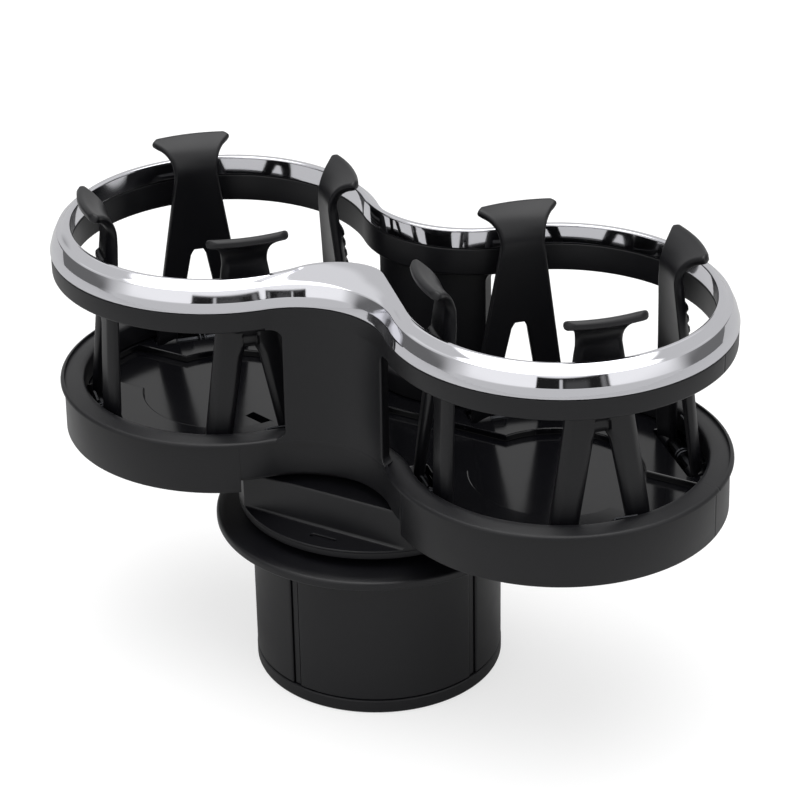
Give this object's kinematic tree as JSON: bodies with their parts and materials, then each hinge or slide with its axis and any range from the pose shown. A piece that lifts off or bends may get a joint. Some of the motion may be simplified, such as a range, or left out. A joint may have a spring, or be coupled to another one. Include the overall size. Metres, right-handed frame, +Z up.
{
  "type": "car cup holder",
  "caption": "Two sprung cup rings with a bright rim, on a swivel and an expanding round base that grips a car's console well.",
  "frame": {"origin": "middle of the base plate's underside, on the axis that the holder swivels about", "axes": "+X along the line of the two rings, towards the right-hand ring, +Z up along the swivel axis"},
  "size_m": [0.1996, 0.0946, 0.1363],
  "materials": {
    "satin_black_abs": "satin, lightly textured moulding",
    "gloss_black_abs": "gloss black",
    "chrome_plated_abs": "bright chrome plating",
    "satin_black_nylon": "satin",
    "zinc_plated_steel": "bright zinc plating",
    "spring_steel": "drawn wire"
  },
  "bodies": {
    "base": {"base_plate": "satin_black_abs", "base_core": "satin_black_abs", "centre_bolt": "zinc_plated_steel", "centre_washer": "zinc_plated_steel", "base_screw_1": "zinc_plated_steel", "base_screw_2": "zinc_plated_steel", "base_screw_3": "zinc_plated_steel", "base_screw_4": "zinc_plated_steel"},
    "collar": {"expander_collar": "satin_black_abs"},
    "jaw_1": {"jaw_1": "satin_black_abs"},
    "jaw_2": {"jaw_2": "satin_black_abs"},
    "jaw_3": {"jaw_3": "satin_black_abs"},
    "jaw_4": {"jaw_4": "satin_black_abs"},
    "holder": {"main_frame": "satin_black_abs", "chrome_trim": "chrome_plated_abs", "floor_tray": "gloss_black_abs", "bottom_cover": "satin_black_abs", "swivel_boss": "satin_black_abs", "pin_left_1": "zinc_plated_steel", "pin_left_2": "zinc_plated_steel", "pin_left_3": "zinc_plated_steel", "pin_left_4": "zinc_plated_steel", "pin_right_1": "zinc_plated_steel", "pin_right_2": "zinc_plated_steel", "pin_right_3": "zinc_plated_steel", "pin_right_4": "zinc_plated_steel", "spring_left_1": "spring_steel", "spring_left_2": "spring_steel", "spring_left_3": "spring_steel", "spring_left_4": "spring_steel", "spring_right_1": "spring_steel", "spring_right_2": "spring_steel", "spring_right_3": "spring_steel", "spring_right_4": "spring_steel", "cover_screw_1": "zinc_plated_steel", "cover_screw_2": "zinc_plated_steel", "cover_screw_3": "zinc_plated_steel", "cover_screw_4": "zinc_plated_steel", "boss_screw_1": "zinc_plated_steel", "boss_screw_2": "zinc_plated_steel", "boss_screw_3": "zinc_plated_steel", "boss_screw_4": "zinc_plated_steel"},
    "finger_left_1": {"finger_left_1": "satin_black_nylon"},
    "finger_left_2": {"finger_left_2": "satin_black_nylon"},
    "finger_left_3": {"finger_left_3": "satin_black_nylon"},
    "finger_left_4": {"finger_left_4": "satin_black_nylon"},
    "finger_right_1": {"finger_right_1": "satin_black_nylon"},
    "finger_right_2": {"finger_right_2": "satin_black_nylon"},
    "finger_right_3": {"finger_right_3": "satin_black_nylon"},
    "finger_right_4": {"finger_right_4": "satin_black_nylon"}
  },
  "joints": [
    {"name": "collar_turn", "type": "hinge", "parent": "base", "child": "collar", "pos_m": [0, 0, 0.048], "axis": [0, 0, 1], "range_deg": [0, 80]},
    {"name": "jaw_1_slide", "type": "slide", "parent": "base", "child": "jaw_1", "axis": [0.8339, 0.5519, 0], "range_m": [0, 0.006]},
    {"name": "jaw_2_slide", "type": "slide", "parent": "base", "child": "jaw_2", "axis": [-0.5519, 0.8339, 0], "range_m": [0, 0.006]},
    {"name": "jaw_3_slide", "type": "slide", "parent": "base", "child": "jaw_3", "axis": [-0.8339, -0.5519, 0], "range_m": [0, 0.006]},
    {"name": "jaw_4_slide", "type": "slide", "parent": "base", "child": "jaw_4", "axis": [0.5519, -0.8339, 0], "range_m": [0, 0.006]},
    {"name": "holder_swivel", "type": "hinge", "parent": "base", "child": "holder", "pos_m": [0, 0, 0.06], "axis": [0, 0, 1], "continuous": true},
    {"name": "finger_left_1_tilt", "type": "hinge", "parent": "holder", "child": "finger_left_1", "pos_m": [-0.0227, 0.0256, 0.0708], "axis": [-0.7071, 0.7071, 0], "range_deg": [0, 6.5], "stiffness_Nm_per_rad": 0.1, "springref_deg": -20.05, "deforming": ["spring_left_1"]},
    {"name": "finger_left_2_tilt", "type": "hinge", "parent": "holder", "child": "finger_left_2", "pos_m": [-0.0739, 0.0256, 0.0708], "axis": [-0.7071, -0.7071, 0], "range_deg": [0, 6.5], "stiffness_Nm_per_rad": 0.1, "springref_deg": -20.05, "deforming": ["spring_left_2"]},
    {"name": "finger_left_3_tilt", "type": "hinge", "parent": "holder", "child": "finger_left_3", "pos_m": [-0.0739, -0.0256, 0.0708], "axis": [0.7071, -0.7071, 0], "range_deg": [0, 6.5], "stiffness_Nm_per_rad": 0.1, "springref_deg": -20.05, "deforming": ["spring_left_3"]},
    {"name": "finger_left_4_tilt", "type": "hinge", "parent": "holder", "child": "finger_left_4", "pos_m": [-0.0227, -0.0256, 0.0708], "axis": [0.7071, 0.7071, 0], "range_deg": [0, 6.5], "stiffness_Nm_per_rad": 0.1, "springref_deg": -20.05, "deforming": ["spring_left_4"]},
    {"name": "finger_right_1_tilt", "type": "hinge", "parent": "holder", "child": "finger_right_1", "pos_m": [0.0823, 0.0256, 0.0708], "axis": [-0.7071, 0.7071, 0], "range_deg": [0, 6.5], "stiffness_Nm_per_rad": 0.1, "springref_deg": -20.05, "deforming": ["spring_right_1"]},
    {"name": "finger_right_2_tilt", "type": "hinge", "parent": "holder", "child": "finger_right_2", "pos_m": [0.0311, 0.0256, 0.0708], "axis": [-0.7071, -0.7071, 0], "range_deg": [0, 6.5], "stiffness_Nm_per_rad": 0.1, "springref_deg": -20.05, "deforming": ["spring_right_2"]},
    {"name": "finger_right_3_tilt", "type": "hinge", "parent": "holder", "child": "finger_right_3", "pos_m": [0.0311, -0.0256, 0.0708], "axis": [0.7071, -0.7071, 0], "range_deg": [0, 6.5], "stiffness_Nm_per_rad": 0.1, "springref_deg": -20.05, "deforming": ["spring_right_3"]},
    {"name": "finger_right_4_tilt", "type": "hinge", "parent": "holder", "child": "finger_right_4", "pos_m": [0.0823, -0.0256, 0.0708], "axis": [0.7071, 0.7071, 0], "range_deg": [0, 6.5], "stiffness_Nm_per_rad": 0.1, "springref_deg": -20.05, "deforming": ["spring_right_4"]}
  ],
  "couplings": [
    {"joint": "jaw_1_slide", "follows": "collar_turn", "m_per_rad": 0.0042972},
    {"joint": "jaw_2_slide", "follows": "collar_turn", "m_per_rad": 0.0042972},
    {"joint": "jaw_3_slide", "follows": "collar_turn", "m_per_rad": 0.0042972},
    {"joint": "jaw_4_slide", "follows": "collar_turn", "m_per_rad": 0.0042972}
  ]
}
